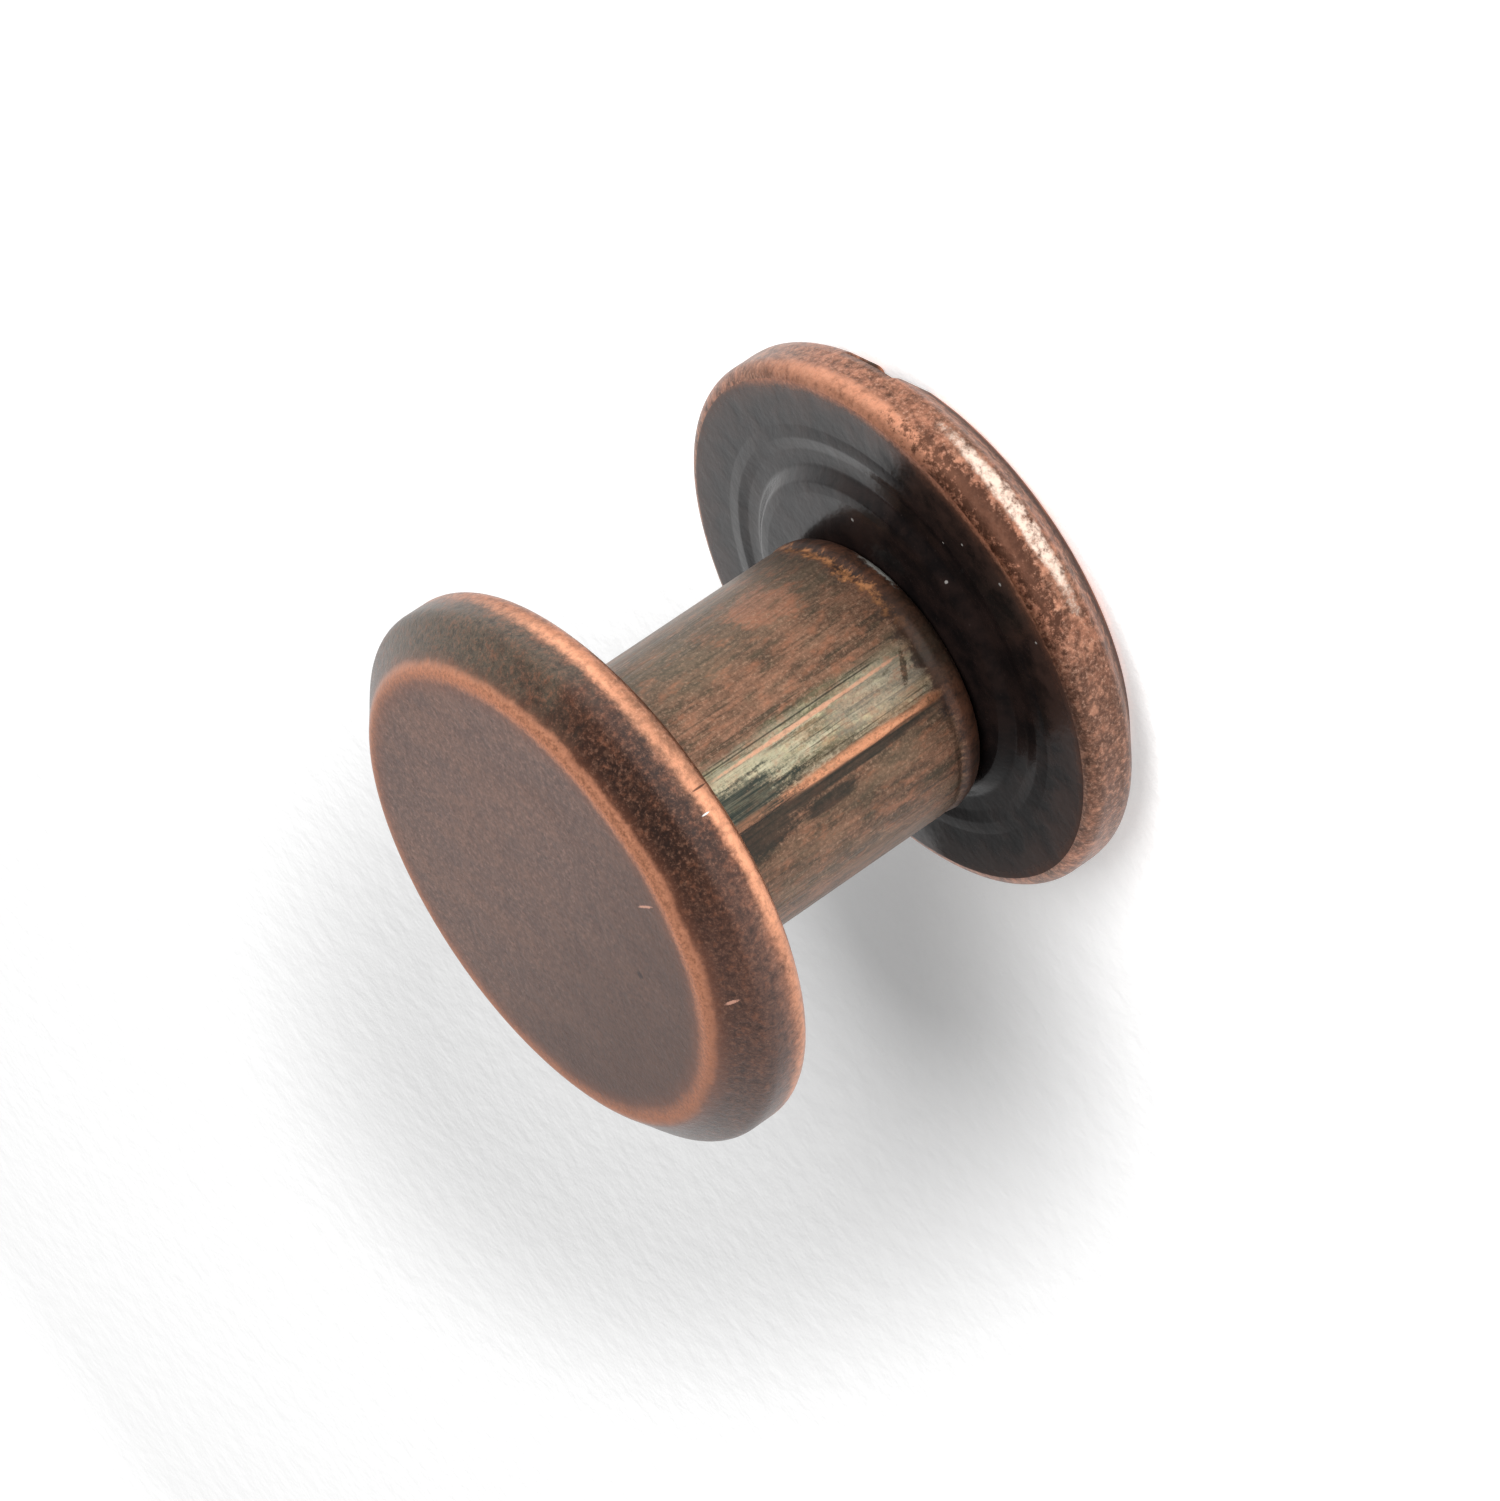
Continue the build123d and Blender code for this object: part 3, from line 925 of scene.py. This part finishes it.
def post_zone(centre):
    r = math.hypot(centre.x, centre.y)
    if centre.z > BARREL_TOP + 0.004 and r > BARREL_R + 0.5 or centre.z > TOP - 0.3:
        return "head"
    if r > BARREL_R + 0.06:
        return "under"
    return "barrel" if r > BORE_R + 0.12 else "thread"


def screw_zone(centre):
    if centre.z > PAD_TOP - 0.012 and math.hypot(centre.x, centre.y) < CREST_R + 0.05:
        return "thread"
    on_rim = centre.z < HEAD_H - 0.004 and math.hypot(centre.x - HEAD_OFFSET, centre.y) > RIM_ZONE_R
    return "head" if on_rim or centre.z < SLOT_D + 0.01 else "under"


# Pieces

post = post_mesh()
screw = screw_mesh()
dress(post, {
    "head": head_material("post_head", NEAR_HEAD),
    "under": under_material("post_under", NEAR_HEAD.centre),
    "barrel": barrel_material("barrel"),
    "thread": thread_material("bore_thread"),
}, post_zone)
dress(screw, {
    "head": head_material("screw_head", FAR_HEAD),
    "under": under_material("screw_under", FAR_HEAD.centre, DUST),
    "thread": thread_material("shank_thread"),
}, screw_zone)
for piece, node, body in ((post, "post", "post_body"), (screw, "screw", "screw_body")):
    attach(piece, body)
    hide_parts(node)


# Floor

FLOOR_HALF = 0.6               # metres
FLOOR_GAP = 0.02 * MM
# where the painted shadow lies on the floor
SHADOW_WAY = 130.0             # direction in which the object's shadow falls
SHADOW_ALONG = 20.0            # its middle, in millimetres along that direction and beside it
SHADOW_BESIDE = -3.7
SHADOW_HALF_L = 14.0
SHADOW_HALF_W = 6.0


def floor_material():
    """Pale paper that glows white to the camera, with a painted shadow: its glow dimmed in a soft ellipse
    where the object's shadow falls.
    """
    t = Surface("pale_floor")
    paper = t.noise(t.place, 1.5, 4.0, 0.6)
    # painted shadow: the ellipse in which the floor's glow is dimmed
    cos, sin = math.cos(math.radians(SHADOW_WAY)), math.sin(math.radians(SHADOW_WAY))
    along = t.add(t.add(t.times(t.x, cos), t.times(t.y, sin)), -SHADOW_ALONG)
    beside = t.add(t.add(t.times(t.x, sin), t.times(t.y, -cos)), -SHADOW_BESIDE)
    from_shadow = t.length(t.times(along, 1 / SHADOW_HALF_L), t.times(beside, 1 / SHADOW_HALF_W))
    glow = t.most(t.step(from_shadow, 0.75, 1.70, 0.16, 0.50), t.step(t.radius, 30.0, 90.0))
    ray = t.new("LightPath", {}).outputs
    seen = t.most(t.most(ray["Is Camera Ray"], ray["Is Glossy Ray"]), ray["Is Transmission Ray"])
    return t.shade(
        Base_Color=t.mix(paper, (0.76, 0.76, 0.76), (0.82, 0.82, 0.82)),
        Roughness=0.9,
        Specular_IOR_Level=0.0,
        Normal=t.bump(paper, 0.2, 0.35),
        Emission_Color=(1.0, 1.0, 1.0),
        Emission_Strength=t.times(seen, glow),
    )


floor_corners = [(x * FLOOR_HALF, y * FLOOR_HALF, 0) for x, y in ((-1, -1), (1, -1), (1, 1), (-1, 1))]
floor_mesh = bpy.data.meshes.new("floor")
floor_mesh.from_pydata(floor_corners, [], [(0, 1, 2, 3)])
floor_mesh.materials.append(floor_material())
floor = add_object("floor", floor_mesh)
floor.location.z = -FLOOR_GAP


# Light: a soft room, bright low down and at the front, dimmer overhead, and white where the camera sees it

ROOM_FRONT = Vector((0.56, -0.80, 0.30))
ROOM_DIFFUSE = 0.46            # share of the room's light that falls on matt surfaces
KEY_WAY = Vector((0.92, -0.40, 0.80))
KEY_AIM = Vector((0, 0, 0.004))
KEY_DISTANCE = 0.12
KEY_SIZE = 0.080
KEY_POWER = 0.19

world = bpy.data.worlds.new("studio")
bpy.context.scene.world = world
world.use_nodes = True
room = Nodes(world.node_tree)
facing = room.new("TexCoord", {}).outputs["Generated"]
upward = room.new("SeparateXYZ", {0: facing}).outputs["Z"]
to_front = {0: facing, 1: ROOM_FRONT.normalized()}
frontal = room.new("VectorMath", to_front, operation="DOT_PRODUCT").outputs["Value"]
light = room.add(room.step(upward, 0.30, 0.90, 1.15, 0.30), room.step(frontal, 0.80, 0.98, 0.0, 0.5))
ray = room.new("LightPath", {}).outputs
light = room.times(light, room.step(ray["Is Glossy Ray"], 0.0, 1.0, ROOM_DIFFUSE, 1.0))
seen = room.most(ray["Is Camera Ray"], ray["Is Transmission Ray"])
backdrop = room.nodes["Background"]
room.put(backdrop.inputs["Color"], (1.0, 1.0, 1.0))
room.put(backdrop.inputs["Strength"], room.new("Mix", {0: seen, 2: light, 3: 1.0}).outputs[0])

key_data = bpy.data.lights.new("key", "AREA")
key_data.shape = "DISK"
key_data.size = KEY_SIZE
key_data.energy = KEY_POWER
key = add_object("key", key_data)
key.location = KEY_AIM + KEY_WAY.normalized() * KEY_DISTANCE
key.rotation_mode = "QUATERNION"
key.rotation_quaternion = KEY_WAY.to_track_quat("Z", "Y")
key.visible_glossy = False


# Camera, fitted to the photo, in which the object lies on its side

CAMERA_PLACE = (0.0772803, -0.08682, 0.0583722)
AZIMUTH = math.radians(41.634)
ELEVATION = math.radians(24.836)
ROLL = math.radians(124.166)
LENS = 188.095

ahead = Vector((-math.sin(AZIMUTH), math.cos(AZIMUTH), 0)) * math.cos(ELEVATION)
ahead.z = -math.sin(ELEVATION)
level = ahead.to_track_quat("-Z", "Y").to_matrix()
camera_data = bpy.data.cameras.new("camera")
camera_data.lens = LENS
camera_data.sensor_width = 36.0
camera_data.clip_start = 0.01
camera_data.clip_end = 10.0
camera = add_object("camera", camera_data)
camera.matrix_world = Matrix.Translation(CAMERA_PLACE) @ (level @ Matrix.Rotation(-ROLL, 3, "Z")).to_4x4()
bpy.context.scene.camera = camera
bpy.context.scene.view_settings.view_transform = "Standard"
